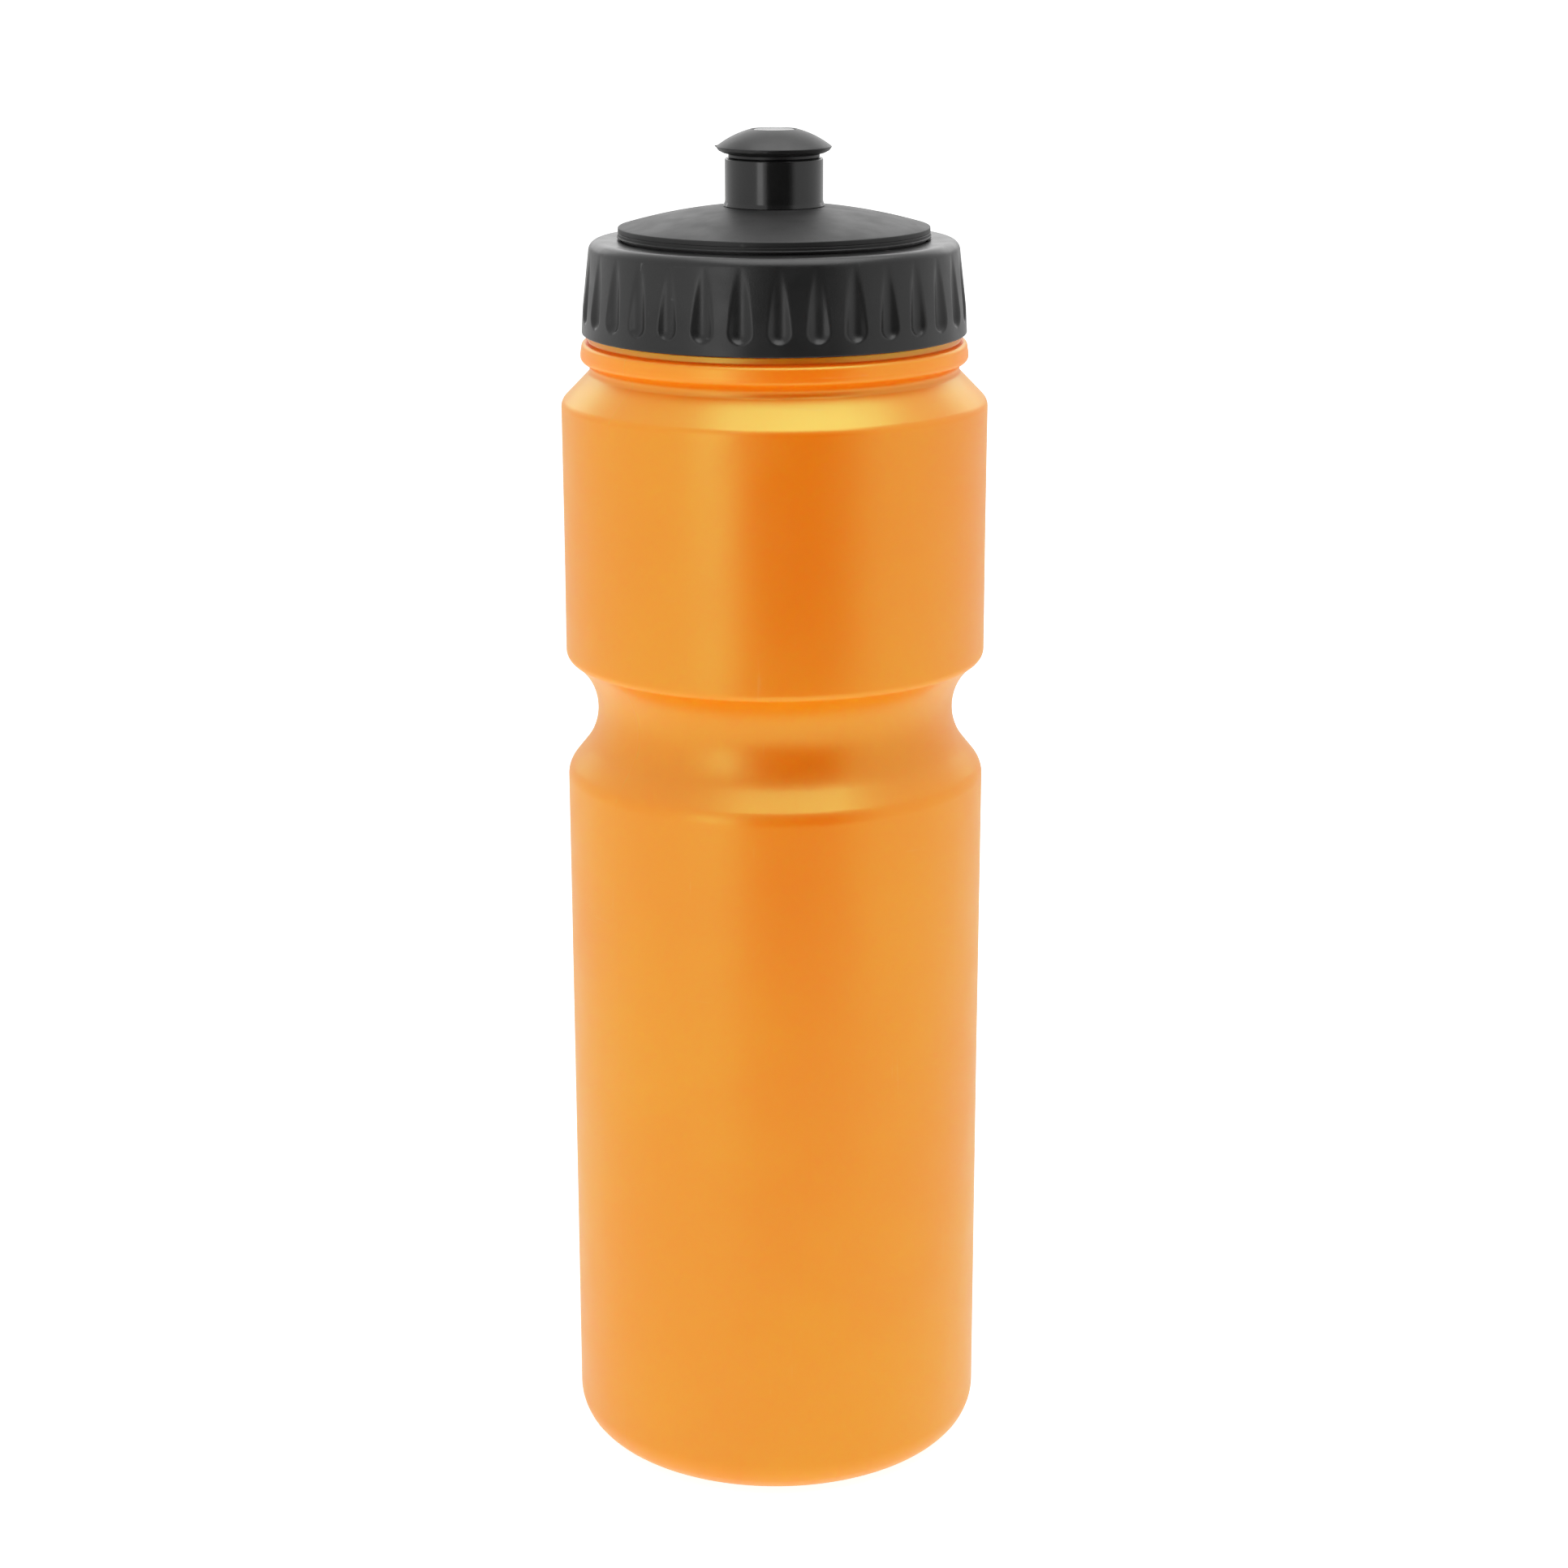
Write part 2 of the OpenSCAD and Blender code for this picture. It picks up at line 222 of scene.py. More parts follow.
def bottle_body(material):
    """The blow-moulded bottle: outer wall, lip and inner wall in one closed surface."""
    push_up, foot_r, base_corner = 3.2, 28.4, 6.8
    push_up_r = foot_r - 5
    waist_low_z, waist_z, waist_high_z, waist_depth = 127.5, 140.6, 148.2, 10.45
    shoulder_z = 193.0
    valley_r, valley_z = 31.4, 198.8
    bead_r, bead_low_z, bead_top_z = 33.6, 200.3, 203.15
    # The neck is a little thicker between the bead and the collar
    step_r, step_top_z = 32.0, COLLAR_LOW_Z - 0.15
    wall_line = [
        (0, push_up),
        (push_up_r, push_up, 3),
        (foot_r, 0, 0.8),
        (BODY_R, 0, base_corner),
        (BODY_R, waist_low_z, 4.1),
        (BODY_R - waist_depth, waist_z, 11.5),
        (BODY_R, waist_high_z, 1.7),
        (BODY_R, shoulder_z, 2.2),
        (valley_r, valley_z, 1.2)]
    outside = wall_line + [
        (bead_r, bead_low_z, 1.0),
        (bead_r, bead_low_z + 0.9, 1.5),
        (bead_r - 0.3, bead_top_z, 0.9),
        (step_r, bead_top_z + 0.3, 0.3),
        (step_r, step_top_z, 0.15),
        (NECK_R, step_top_z, 0.2)]
    # Inside, the shoulder's slope runs on until it meets the mouth's straight bore
    inner_line = inset(wall_line, WALL)
    slope = (valley_z - shoulder_z) / (BODY_R - valley_r)
    inside = [(0, push_up + WALL)] + inner_line
    inside.append((MOUTH_R, inner_line[-1][1] + (inner_line[-1][0] - MOUTH_R) * slope, 1.5))
    neck = [(NECK_R, LIP_Z, 0.3), (MOUTH_R, LIP_Z, 0.3)]
    outline = rounded(outside + neck + inside[::-1], 3)
    # Rows lie close together on the neck, where the thread rises from it
    neck_rows = np.arange(step_top_z + 0.5, LIP_Z - 0.4, 0.16)
    foot_of_neck = np.argmax((outline[:, 1] > step_top_z) & (outline[:, 0] <= NECK_R + 1e-6))
    outer = refined(outline[:foot_of_neck + 1], 4, closed=False)
    rows = np.stack([np.full(len(neck_rows), NECK_R), neck_rows], 1)
    inner = refined(outline[foot_of_neck + 1:], 8, closed=False)
    outline = np.concatenate([outer, rows, inner])
    is_outer = (np.arange(len(outline)) < len(outer) + len(rows))[:, None]
    shaped_places = [(138, 10), (198, 7), (0, 7)]
    straight_walls = [(8, 126), (151, 192)]
    seam_width, seam_plain, seam_shaped = 0.2, 0.003, 0.03
    witness_r, witness_width, witness_proud = 36.0, 0.22, 0.035
    sink_depth = 0.035
    weld_width, weld_reach, weld_depth = 0.55, 20, 0.45
    base_rings, ring_width, ring_depth = (13, 21.5), 0.3, 0.12

    def relief(radius, height, angle):
        # The mould's parting line stands proud, most of all where the wall is shaped
        lines = [bump_at(abs(off_axis(angle, s)) * radius, seam_width) for s in SEAMS]
        shaped = sum(bump_at(height - z, width) for z, width in shaped_places)
        above_base = radius > foot_r + 3
        proud = seam_plain + seam_shaped * np.clip(shaped, 0, 1)
        proud = proud * np.maximum.reduce(lines) * above_base
        # A faint ring where the mould's base insert meets its walls
        in_corner = (height < base_corner) & above_base
        proud += witness_proud * bump_at(radius - witness_r, witness_width) * in_corner
        # The wall sinks a little and unevenly as the bottle cools
        along = [np.clip((height - low) / (high - low), 0, 1) for low, high in straight_walls]
        straight = sum(np.clip(np.sin(a * np.pi), 0, 1) for a in along)
        waves = np.sin(2 * angle + 0.7) + 0.6 * np.sin(3 * angle + height / 31)
        waves += 0.5 * np.sin(5 * angle - height / 17)
        sunk = sink_depth * (1 + waves / 2.1) * straight
        # Where the parison was pinched shut, a weld runs across the base
        across = radius * abs(np.sin(angle - SEAMS[0]))
        weld = np.clip(1 - across / weld_width, 0, 1)
        weld = weld * np.clip((weld_reach - radius) / 1.5, 0, 1)
        ring = sum(bump_at(radius - r, ring_width) for r in base_rings)
        under = (height < push_up + 0.01) & (radius < push_up_r)
        winding = thread(height, angle, THREAD_Z, 0, 1.25, 1.09)
        on_neck = (height > step_top_z + 0.4) & (radius < NECK_R + 0.01)
        radius = radius + is_outer * (proud - sunk + THREAD_DEPTH * winding * on_neck)
        height = height - is_outer * under * (weld_depth * weld + ring_depth * ring)
        return radius, height, angle

    # Columns lie close together at the parting lines
    fine = np.array([-0.6, -0.4, -0.25, -0.12, 0, 0.12, 0.25, 0.4, 0.6]) / BODY_R
    seam_angles = [(s + fine) % (2 * math.pi) for s in SEAMS]
    angles = np.unique(np.round(np.concatenate([even_angles(288), *seam_angles]), 6))
    piece = lathe("bottle", outline, angles, relief)
    finish_piece(piece, "bottle", "bottle_body", material)


def screw_collar(material):
    """The fluted ring, with its inward top flange and its internal thread."""
    flange_z = COLLAR_TOP_Z - 1.6
    lower = rounded([
        (COLLAR_BORE_R + 0.35, COLLAR_LOW_Z),
        (COLLAR_R, COLLAR_LOW_Z, 0.25),
        (COLLAR_R - 0.25, COLLAR_LOW_Z + 4.6, 20),
        (COLLAR_R - 1.55, COLLAR_TOP_Z - 0.1, 1.8),
        (DISC_R - 0.35, COLLAR_TOP_Z, 0.15),
        (DISC_R - 0.35, flange_z, 0.15),
        (FLANGE_R + 0.2, flange_z, 0.3),
        (FLANGE_R + 0.2, LIP_Z + 0.1),
        (COLLAR_BORE_R, LIP_Z - 0.3),
        (COLLAR_BORE_R, COLLAR_LOW_Z + 0.6)])
    # Rows lie close together on the upright walls, where the flutes and the thread are
    upright_step, other_step = 0.22, 1.5
    rows = []
    for a, b in zip(lower, np.roll(lower, -1, 0)):
        step = upright_step if abs(b[1] - a[1]) > 1 else other_step
        count = max(1, math.ceil(np.linalg.norm(b - a) / step))
        rows.append(a + (b - a) * (np.arange(count) / count)[:, None])
    outline = np.concatenate(rows)
    pitch = 2 * math.pi / FLUTES
    cutter_r, flute_depth = 2.5, 0.9
    floor_low_r, tip_r = COLLAR_R - 0.2 - flute_depth, 31.97
    low_z, tip_z = COLLAR_LOW_Z + 2.3 + cutter_r * 0.72, COLLAR_LOW_Z + 13.4
    lean = (tip_r - floor_low_r) / (tip_z - low_z)

    def relief(radius, height, angle):
        # Each flute is cut by a leaning cylinder with a round lower end
        across = off_axis(angle * FLUTES, (FRONT + FLUTE_PHASE) * FLUTES) / FLUTES
        middle = angle - across
        centre = floor_low_r + cutter_r + lean * np.maximum(height - low_z, 0)
        below = np.minimum(height - low_z, 0)
        cut = np.sqrt(np.maximum(cutter_r ** 2 - below ** 2, 0))
        # The columns follow the flute's two edges
        reach = (radius ** 2 + centre ** 2 - cut ** 2) / (2 * radius * centre)
        outer = radius > COLLAR_BORE_R + 0.4
        edge = np.where(outer, np.arccos(np.clip(reach, -1, 1)), 0)
        edge = np.clip(edge, 0.35 / COLLAR_R, 0.42 * pitch)
        share = abs(across) / (pitch / 2)
        inner_part = np.minimum(share / 0.5, 1) * edge
        outer_part = np.maximum(share - 0.5, 0) / 0.5 * (pitch / 2 - edge)
        across = np.where(outer, np.sign(across) * (inner_part + outer_part), across)
        side = centre * np.sin(across)
        scoop = centre * np.cos(across) - np.sqrt(np.maximum(cut ** 2 - side ** 2, 0))
        # The cut and the wall meet in a small round
        blend = 0.16
        mix = np.clip(0.5 + 0.5 * (scoop - radius) / blend, 0, 1)
        met = scoop * (1 - mix) + radius * mix - blend * mix * (1 - mix)
        sunk = np.where(outer & (height < tip_z + 2) & (cut > 0), met, radius)
        winding = thread(height, angle, THREAD_Z + 0.8, math.pi, 1.1, 1.18)
        on_bore = (radius < COLLAR_BORE_R + 0.01) & (height < LIP_Z - 0.2)
        on_bore &= radius > COLLAR_BORE_R - 0.01
        return sunk - THREAD_DEPTH * winding * on_bore, height, middle + across

    columns = 20
    angles = FRONT + FLUTE_PHASE + pitch * (np.arange(FLUTES * columns) + 0.5) / columns
    piece = lathe("collar_ring", outline, angles, relief)
    finish_piece(piece, "collar", "screw_collar", material)


def dome_lid(material):
    """The domed disc, its flange under the collar and its plug skirt."""
    sphere_r, thickness = 95.0, 1.6
    disc_low_z = COLLAR_TOP_Z + 0.4
    disc_top_z = disc_low_z + 1.7
    apex_z = disc_top_z + sphere_r - math.sqrt(sphere_r ** 2 - DISC_R ** 2)
    hole_r, rim_in, skirt_r = 8.1, 24.4, MOUTH_R - 0.4
    groove_r, flange_top_z = DISC_R - 0.7, GASKET_TOP_Z + 1.55
    flash_r, flash_ragged = DISC_R + 0.1, 0.12
    top = sphere_line(sphere_r, apex_z, hole_r, DISC_R - 0.02, 30)
    under = sphere_line(sphere_r - thickness, apex_z - thickness, rim_in, hole_r, 12)
    outline = top[:-1] + [
        (*top[-1], 0.22),
        (DISC_R, disc_low_z + 0.95, 0),
        (DISC_R - 0.06, disc_low_z + 0.88, 0),
        (DISC_R - 0.06, disc_low_z + 0.8, 0),
        (DISC_R, disc_low_z + 0.73, 0),
        (DISC_R, disc_low_z + 0.3, 0),
        (flash_r, disc_low_z + 0.18, 0),
        (flash_r, disc_low_z, 0),
        (groove_r, disc_low_z, 0.1),
        (groove_r, flange_top_z, 0.15),
        (FLANGE_R, flange_top_z, 0.2),
        (FLANGE_R, GASKET_TOP_Z, 0.15),
        (skirt_r, GASKET_TOP_Z, 0.15),
        (skirt_r, SKIRT_LOW_Z + 0.5, 0.2),
        (skirt_r - 0.4, SKIRT_LOW_Z, 0.15),
        (skirt_r - 1.2, SKIRT_LOW_Z, 0.15),
        (skirt_r - 1.2, GASKET_TOP_Z, 0.3),
        (rim_in, GASKET_TOP_Z, 0.2)] + under

    def relief(radius, height, angle):
        # Ragged flash round the disc's foot
        at_foot = (abs(height - disc_low_z) < 0.2) & (radius > DISC_R + 0.05)
        ragged = np.sin(61 * angle) * np.sin(23 * angle + 1) * np.sin(7 * angle + 2)
        return radius + flash_ragged * np.clip(ragged, 0, 1) * at_foot, height, angle

    piece = lathe("lid_disc", refined(rounded(outline), 2), even_angles(360), relief)
    finish_piece(piece, "lid", "dome_lid", material)


def spout_barrel(material):
    """The glossy tube on the dome, its snap spigot below and its stop lip inside."""
    barrel_r, bore_r, lip_r = BARREL_FOOT_R - 0.55, STOP_R + 0.1, 6.7
    spigot_r, foot_z, barb_z, snap_z, lip_z = 8.05, 226.23, 224.52, 215.6, 231.85
    outline = [
        (lip_r, BARREL_TOP_Z, 0.15),
        (barrel_r, BARREL_TOP_Z, 0.3),
        (barrel_r, foot_z + 0.8, 1.2),
        (barrel_r + 0.3, foot_z, 0.05),
        (spigot_r, foot_z),
        (spigot_r, barb_z),
        (spigot_r + 0.45, barb_z - 0.25, 0.05),
        (spigot_r + 0.45, barb_z - 0.9, 0.1),
        (spigot_r, barb_z - 1.6, 0.1),
        (spigot_r, BARREL_LOW_Z, 0.2),
        (bore_r, BARREL_LOW_Z, 0.2),
        (bore_r, snap_z - 0.5),
        (bore_r + 0.2, snap_z - 0.3),
        (bore_r + 0.2, snap_z + 0.3),
        (bore_r, snap_z + 0.5),
        (bore_r, lip_z, 0.1),
        (lip_r, lip_z + 0.1, 0.1)]
    piece = lathe("spout_tube", refined(rounded(outline), 0.8), even_angles(192))
    finish_piece(piece, "lid", "spout_barrel", material)


def valve_stem(material):
    """The sliding tube, with its stop ring, O-ring gland and snap ridge."""
    bore_r, stem_r, gland_r = 5.2, 6.6, 5.98
    stop_top_z, gland_low_z, gland_high_z, ridge_z = 225.3, 222.5, 224.0, 235.8
    outline = [
        (bore_r, STEM_LOW_Z, 0.2),
        (STOP_R, STEM_LOW_Z, 0.3),
        (STOP_R, gland_low_z, 0.08),
        (gland_r, gland_low_z, 0.1),
        (gland_r, gland_high_z, 0.1),
        (STOP_R, gland_high_z, 0.08),
        (STOP_R, stop_top_z, 0.15),
        (stem_r, stop_top_z, 0.15),
        (stem_r, ridge_z - 0.3),
        (stem_r + 0.25, ridge_z - 0.1),
        (stem_r + 0.25, ridge_z + 0.1),
        (stem_r, ridge_z + 0.3),
        (stem_r, STEM_TOP_Z, 0.2),
        (bore_r, STEM_TOP_Z, 0.2)]
    piece = lathe("stem_tube", refined(rounded(outline), 0.8), even_angles(144))
    finish_piece(piece, "valve", "valve_stem", material)


def mouthpiece(material):
    """The soft mushroom-shaped nozzle."""
    sphere_r, hole_r, neck_r, bore_r = 16.0, 3.6, 7.8, 6.62
    rim_z, ridge_z, lip_r = 236.0, 235.8, 4.1
    apex_z = MOUTHPIECE_TOP_Z + sphere_r - math.sqrt(sphere_r ** 2 - lip_r ** 2)
    crown = sphere_line(sphere_r, apex_z, lip_r, MOUTHPIECE_R - 0.25, 28)
    outline = crown + [
        (MOUTHPIECE_R - 0.03, rim_z + 0.14, 0.05),
        (MOUTHPIECE_R - 0.03, rim_z + 0.02, 0.02),
        (MOUTHPIECE_R - 0.1, rim_z - 0.06, 0.05),
        (MOUTHPIECE_R - 0.4, rim_z - 0.5, 0.4),
        (MOUTHPIECE_R - 1.2, rim_z - 0.9, 0.9),
        (neck_r, rim_z - 1.1, 0.15),
        (neck_r, MOUTHPIECE_LOW_Z, 0.1),
        (bore_r, MOUTHPIECE_LOW_Z, 0.1),
        (bore_r, ridge_z - 0.35),
        (bore_r + 0.27, ridge_z - 0.12),
        (bore_r + 0.27, ridge_z + 0.12),
        (bore_r, ridge_z + 0.35),
        (bore_r, STEM_TOP_Z + 0.02),
        (hole_r, STEM_TOP_Z + 0.02, 0.1),
        (hole_r, MOUTHPIECE_TOP_Z - 0.5, 0.2)]

    def relief(radius, height, angle):
        # A nib of flash stands on the parting line, on the left
        nib = bump_at(off_axis(angle, math.pi), 0.028) * bump_at(height - rim_z - 0.15, 0.16)
        on_rim = radius > MOUTHPIECE_R - 0.5
        return radius + 0.28 * nib * on_rim, height + 0.12 * nib * on_rim, angle

    angles = even_angles(192)
    piece = lathe("nozzle", refined(rounded(outline), 0.5), angles, relief)
    finish_piece(piece, "valve", "mouthpiece", material)


# ---------------------------------------------------------------- materials

class Nodes:
    """A node tree that nodes are added to one by one."""

    def __init__(self, tree):
        self.tree = tree

    def node(self, kind, inputs, **settings):
        node = self.tree.nodes.new("ShaderNode" + kind)
        for key, value in settings.items():
            setattr(node, key, value)
        for key, value in inputs.items():
            self.feed(node.inputs[key], value)
        return node.outputs

    def feed(self, socket, value):
        if isinstance(value, bpy.types.NodeSocket):
            self.tree.links.new(value, socket)
        else:
            socket.default_value = value

    def ramp(self, value, low, high, to_low=0.0, to_high=1.0):
        inputs = {"Value": value, "From Min": low, "From Max": high,
                  "To Min": to_low, "To Max": to_high}
        return self.node("MapRange", inputs, interpolation_type="SMOOTHSTEP")["Result"]

    def math(self, operation, a, b):
        return self.node("Math", {0: a, 1: b}, operation=operation)["Value"]


class Shader(Nodes):
    """A material, with the Principled shader's sockets in surface."""

    def __init__(self, name, **constants):
        self.material = bpy.data.materials.new(name)
        self.material.use_nodes = True
        super().__init__(self.material.node_tree)
        self.surface = self.tree.nodes["Principled BSDF"].inputs
        for socket, value in constants.items():
            self.surface[socket.replace("_", " ")].default_value = value
        self.place = self.node("TexCoord", {})["Object"]

    def stretched(self, x, y, z):
        return self.node("Mapping", {"Vector": self.place, "Scale": (x, y, z)})["Vector"]

    def noise(self, size_mm, detail=2.0, roughness=0.5, place=None):
        """Noise from 0 to 1 with features of about that size."""
        inputs = {"Vector": place or self.place, "Scale": 1 / (size_mm * MM),
                  "Detail": detail, "Roughness": roughness}
        return self.node("TexNoise", inputs)["Fac"]

    def mix(self, share, a, b):
        """Colour a where share is 0 and b where it is 1."""
        node = self.tree.nodes.new("ShaderNodeMix")
        node.data_type = "RGBA"
        for socket, value in zip((0, 6, 7), (share, a, b)):
            self.feed(node.inputs[socket], value)
        return node.outputs[2]

    def bump(self, height, depth_mm, strength=1.0, below=None):
        inputs = {"Height": height, "Distance": depth_mm * MM, "Strength": strength}
        if below is not None:
            inputs["Normal"] = below
        return self.node("Bump", inputs)["Normal"]

    def specks(self, spacing_mm, share):
        """Small dots, one in each cell of that size, on that share of the cells' width."""
        cells = self.node("TexVoronoi", {"Vector": self.place, "Scale": 1 / (spacing_mm * MM)})
        return self.ramp(cells["Distance"], share, share * 0.6)

    def scratches(self, size_mm, reach):
        """Fine hairline marks that run mostly up and down or round, as a mask."""
        upright = self.stretched(1, 1, 1 / reach)
        level = self.stretched(1 / reach, 1 / reach, 1)
        a = self.noise(size_mm, 3, 0.6, upright)
        b = self.noise(size_mm, 3, 0.6, level)
        return self.ramp(self.math("MAXIMUM", a, b), 0.70, 0.78)

    def worn_edges(self, low, high):
        return self.ramp(self.node("NewGeometry", {})["Pointiness"], low, high)


def orange_plastic():
    """Satin low-density polyethylene, with the fine matt grain of a blasted mould."""
    s = Shader("orange_plastic", IOR=1.8, Specular_IOR_Level=1.0,
               Specular_Tint=(0.68, 0.98, 0.25, 1), Subsurface_Weight=0.85,
               Subsurface_Radius=(1.0, 0.3, 0.06), Subsurface_Scale=0.004)
    deep, light = (0.95, 0.156, 0.001, 1), (0.97, 0.182, 0.001, 1)
    pale, worn, lit_through = (0.90, 0.62, 0.35, 1), (0.90, 0.20, 0.01, 1), (0.98, 0.48, 0.09, 1)
    colour = s.mix(s.ramp(s.noise(42, 2), 0.35, 0.65), deep, light)
    # A stand-in for daylight through the wall: what faces the axis is lighter
    normal, from_axis = s.node("TexCoord", {})["Normal"], s.stretched(1, 1, 0)
    outward = s.node("VectorMath", {0: normal, 1: from_axis}, operation="DOT_PRODUCT")["Value"]
    colour = s.mix(s.ramp(outward, -0.001, -0.005), colour, lit_through)
    colour = s.mix(s.worn_edges(0.54, 0.66), colour, worn)
    scratches = s.scratches(1.3, 14)
    colour = s.mix(s.math("MULTIPLY", scratches, 0.06), colour, pale)
    dust = s.math("MULTIPLY", s.specks(11, 0.018), s.ramp(s.noise(25, 1), 0.5, 0.6))
    s.feed(s.surface["Base Color"], s.mix(dust, colour, pale))
    rough = s.ramp(s.noise(9, 3), 0.2, 0.8, 0.33, 0.39)
    s.feed(s.surface["Roughness"], s.math("ADD", rough, s.math("MULTIPLY", scratches, 0.08)))
    wavy = s.bump(s.noise(14, 1), 0.05, 0.5)
    grain = s.bump(s.noise(0.34, 3, 0.6), 0.012, 0.8, wavy)
    s.feed(s.surface["Normal"], s.bump(scratches, 0.006, 0.6, grain))
    return s.material


def black_plastic(name, roughness, grain_mm, grain_depth, patchy=0.0, scuffed=0.2, ior=1.44):
    """Black moulded polypropylene. Patchy grain is stronger in some places than in others."""
    s = Shader(name, IOR=ior, Specular_IOR_Level=0.5)
    black, grey, worn = (0.007, 0.007, 0.007, 1), (0.011, 0.011, 0.011, 1), (0.04, 0.04, 0.04, 1)
    dusty = (0.30, 0.29, 0.28, 1)
    colour = s.mix(s.ramp(s.noise(16, 3), 0.35, 0.65), black, grey)
    colour = s.mix(s.worn_edges(0.55, 0.72), colour, worn)
    scratches = s.math("MULTIPLY", s.scratches(0.9, 12), scuffed)
    colour = s.mix(scratches, colour, worn)
    dust = s.math("MULTIPLY", s.specks(4.5, 0.03), s.ramp(s.noise(12, 1), 0.5, 0.6))
    s.feed(s.surface["Base Color"], s.mix(s.math("MULTIPLY", dust, 0.6), colour, dusty))
    rough = s.ramp(s.noise(5, 3), 0.2, 0.8, roughness - 0.04, roughness + 0.05)
    s.feed(s.surface["Roughness"], s.math("ADD", rough, s.math("MULTIPLY", scratches, 0.3)))
    leather = s.ramp(s.noise(11, 2), 0.42, 0.62, 1 - patchy, 1.0)
    wavy = s.bump(s.noise(7, 1), 0.02, 0.5)
    s.feed(s.surface["Normal"], s.bump(s.noise(grain_mm, 4, 0.65), grain_depth, leather, wavy))
    return s.material


def natural_plastic():
    """Milky, uncoloured polyethylene foam for the gasket."""
    s = Shader("natural_plastic", Subsurface_Weight=0.2, Subsurface_Scale=0.001)
    colour = s.mix(s.noise(6, 3), (0.70, 0.69, 0.64, 1), (0.80, 0.79, 0.75, 1))
    s.feed(s.surface["Base Color"], colour)
    s.feed(s.surface["Roughness"], s.ramp(s.noise(3, 2), 0.2, 0.8, 0.5, 0.62))
    s.feed(s.surface["Normal"], s.bump(s.noise(0.5, 3), 0.02, 0.6))
    return s.material


def dress_node(node, material):
    """Gives a CAD node that stays as it is a detailed material."""
    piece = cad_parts[node]
    piece.data.materials.clear()
    piece.data.materials.append(material)


# ---------------------------------------------------------------- the studio

def studio_camera():
    """A short telephoto, a little above the cap's height and tilted down to the bottle."""
    place = Vector((0.00156, -0.533, 0.2756))
    tilt, roll = math.radians(15.95), math.radians(0.079)
    data = bpy.data.cameras.new("camera")
    data.sensor_width = 36
    data.lens = 70.62
    camera = bpy.data.objects.new("camera", data)
    turn = Matrix.Rotation(math.pi / 2 - tilt, 4, "X") @ Matrix.Rotation(-roll, 4, "Z")
    camera.matrix_world = Matrix.Translation(place) @ turn
    bpy.context.scene.collection.objects.link(camera)
    bpy.context.scene.camera = camera


def panel(name, place, towards, width, height, radiance):
    """A softbox of that radiance, as an area light."""
    data = bpy.data.lights.new(name, "AREA")
    data.shape = "RECTANGLE"
    data.size, data.size_y = width, height
    data.energy = radiance * math.pi * width * height
    light = bpy.data.objects.new(name, data)
    light.location = place
    light.rotation_euler = (Vector(towards) - Vector(place)).to_track_quat("-Z", "Y").to_euler()
    light.visible_camera = False
    bpy.context.scene.collection.objects.link(light)


def flat_sheet(name, corners, material):
    mesh = bpy.data.meshes.new(name)
    mesh.from_pydata(corners, [], [(0, 1, 2, 3)])
    mesh.materials.append(material)
    sheet = bpy.data.objects.new(name, mesh)
    bpy.context.scene.collection.objects.link(sheet)
    return sheet


def soft_highlights():
    """A film-like response: linear up to the middle, then rolling off to white."""
    view = bpy.context.scene.view_settings
    view.view_transform = "Standard"
    view.use_curve_mapping = True
    white = 1.25
    curve = view.curve_mapping
    curve.white_level = (white, white, white)
    tone = curve.curves[3]
    tone.points[-1].location = (1, 1)
    for light, shown in [(0.3, 0.3), (0.6, 0.6), (0.85, 0.80), (1.05, 0.89)]:
        tone.points.new(light / white, shown)
    curve.update()


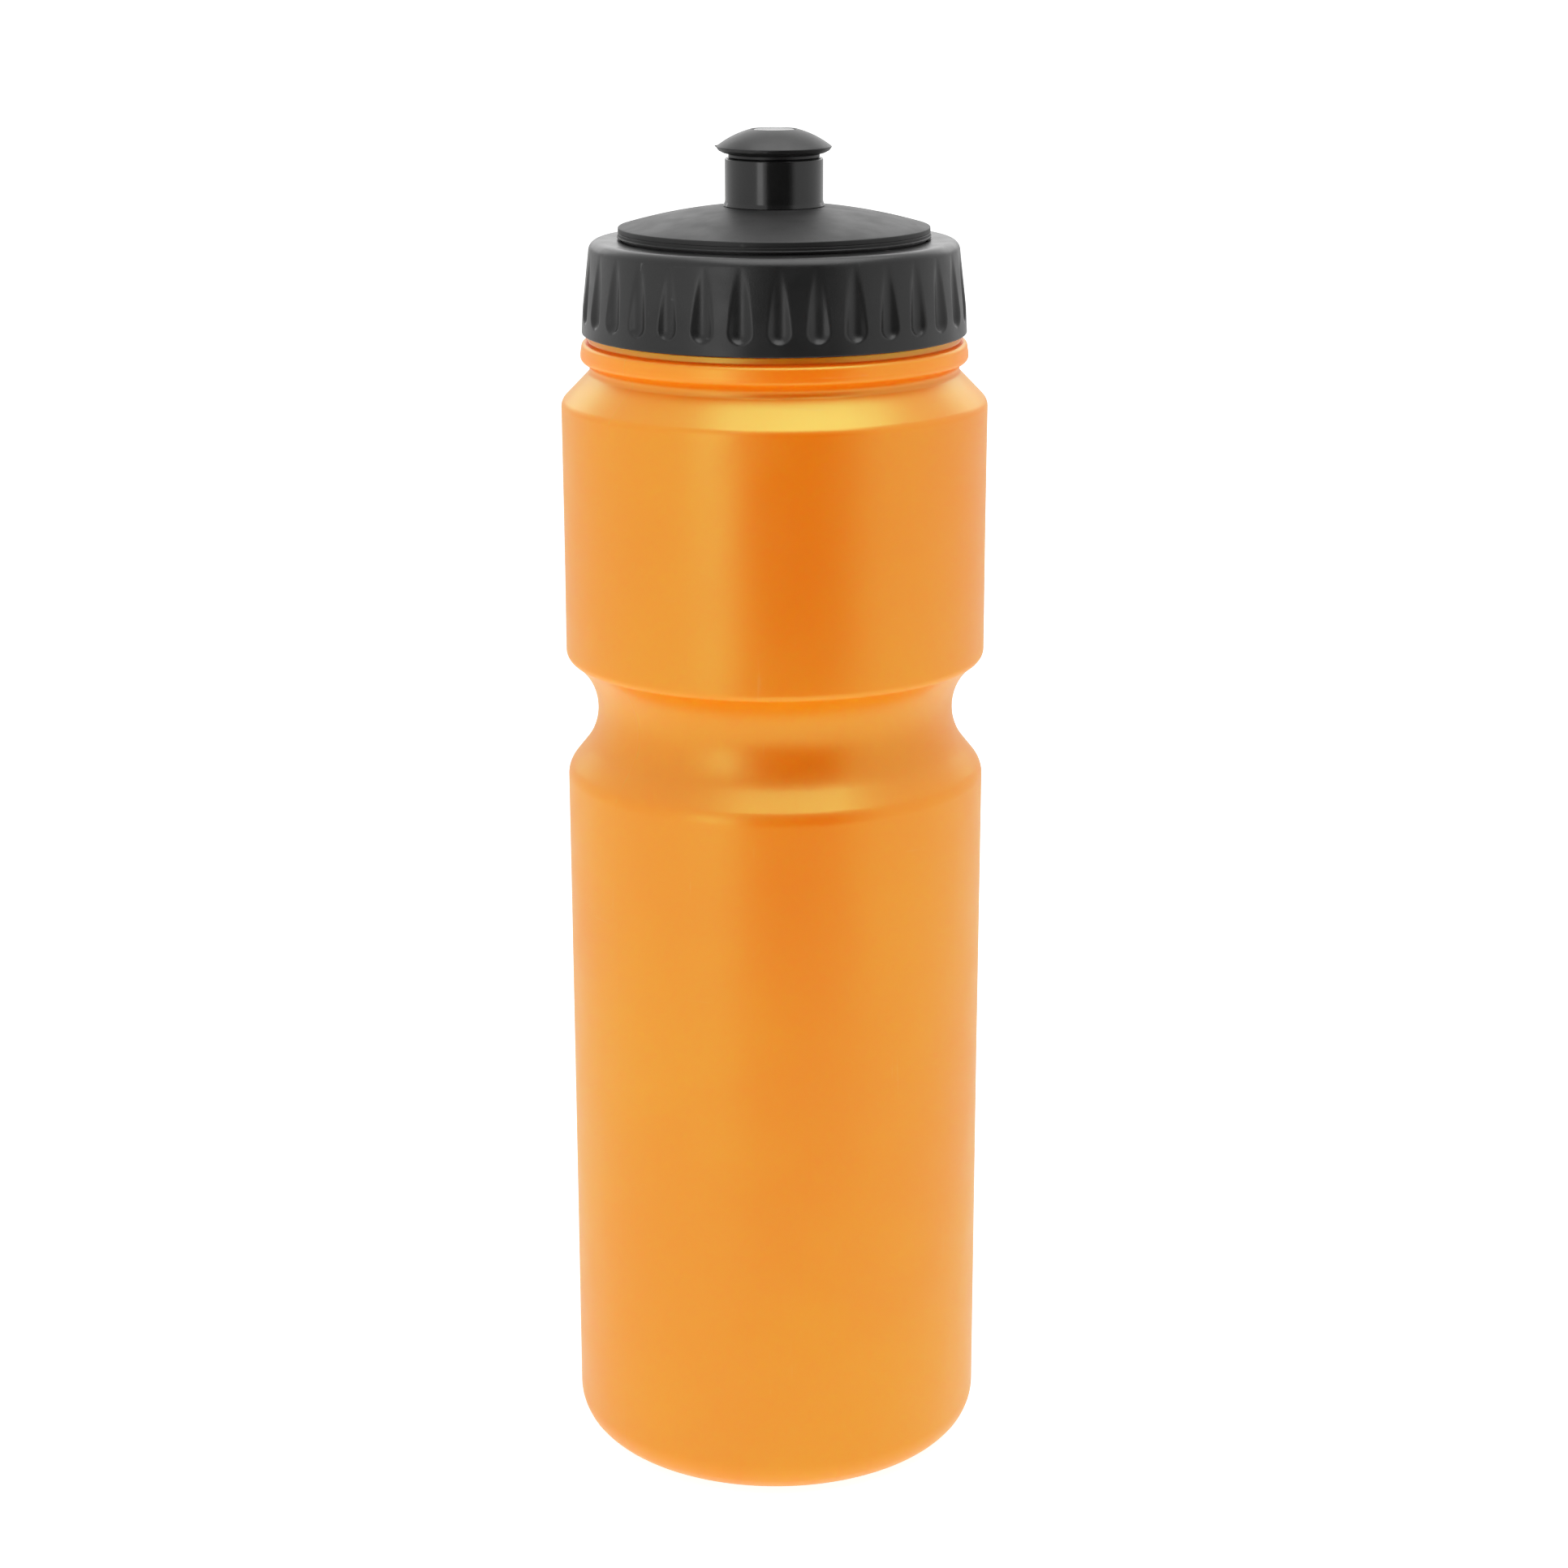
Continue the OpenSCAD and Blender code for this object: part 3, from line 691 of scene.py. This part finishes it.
def studio():
    """White surroundings, a strip light on the left, a softbox overhead, a light at the back and,
    behind the camera, the dark part of the room, which the bottle reflects as its dark stripe."""
    world = bpy.data.worlds.new("studio")
    world.use_nodes = True
    sky = Nodes(world.node_tree)
    background = sky.tree.nodes["Background"].inputs
    background["Color"].default_value = (1, 1, 1, 1)
    # Brighter below, where the floor is, and plain white where the camera sees it
    seen = sky.node("LightPath", {})["Is Camera Ray"]
    up = sky.node("SeparateXYZ", {"Vector": sky.node("TexCoord", {})["Generated"]})["Z"]
    level, below = 0.9, 1.15
    surroundings = sky.ramp(up, -0.1, -0.5, level, below)
    sky.feed(background["Strength"], sky.math("ADD", surroundings, seen))
    bpy.context.scene.world = world
    soft_highlights()

    floor = Shader("floor", Roughness=0.9, Specular_IOR_Level=0.1,
                   Emission_Color=(1, 1, 1, 1), Emission_Strength=1.05)
    paper = floor.mix(floor.noise(30, 3), (0.80, 0.80, 0.80, 1), (0.82, 0.82, 0.82, 1))
    floor.feed(floor.surface["Base Color"], paper)
    half = 6
    ground = flat_sheet("floor", [(-half, -half, 0), (half, -half, 0), (half, half, 0),
                                  (-half, half, 0)], floor.material)
    # Gloss reflects the surroundings in its place
    ground.visible_glossy = False

    far, left, right, edge, low, top = -0.62, -0.19, 0.40, 0.84, -0.1, 1.0
    dark = Shader("dark_room", Roughness=1.0, Specular_IOR_Level=0.0,
                  Base_Color=(0.01, 0.01, 0.01, 1))
    across = dark.node("SeparateXYZ", {"Vector": dark.place})["X"]
    dark.feed(dark.surface["Alpha"], dark.ramp(across, edge, right))
    card = flat_sheet("dark_room", [(left, far, low), (edge, far, low), (edge, far, top),
                                    (left, far, top)], dark.material)
    card.visible_camera = False

    turn, distance, middle = math.radians(-32), 0.8, 0.28
    place = (distance * math.sin(turn), -distance * math.cos(turn), middle)
    panel("strip_light", place, (0, 0, middle), 0.20, 0.55, 1.8)
    panel("overhead", (0.13, -0.10, 0.95), (0.13, -0.10, 0), 0.85, 0.9, 2.7)
    panel("backdrop_light", (0, 1.2, 0.75), (0, 0, 0.22), 2.4, 0.7, 1.4)


# ---------------------------------------------------------------- making it

studio_camera()
studio()

cap_black = black_plastic("cap_black", 0.34, 0.30, 0.02, patchy=0.75)
lid_black = black_plastic("lid_black", 0.52, 0.22, 0.012, patchy=0.3)
barrel_black = black_plastic("barrel_black", 0.18, 0.45, 0.002, scuffed=0.1, ior=1.5)
valve_black = black_plastic("valve_black", 0.44, 0.22, 0.012)
seal_black = black_plastic("seal_black", 0.6, 0.4, 0.008, scuffed=0.0)

bottle_body(orange_plastic())
screw_collar(cap_black)
dome_lid(lid_black)
spout_barrel(barrel_black)
valve_stem(barrel_black)
mouthpiece(valve_black)
dress_node("seal_pin", barrel_black)
dress_node("stem_o_ring", seal_black)
dress_node("lid_gasket", natural_plastic())
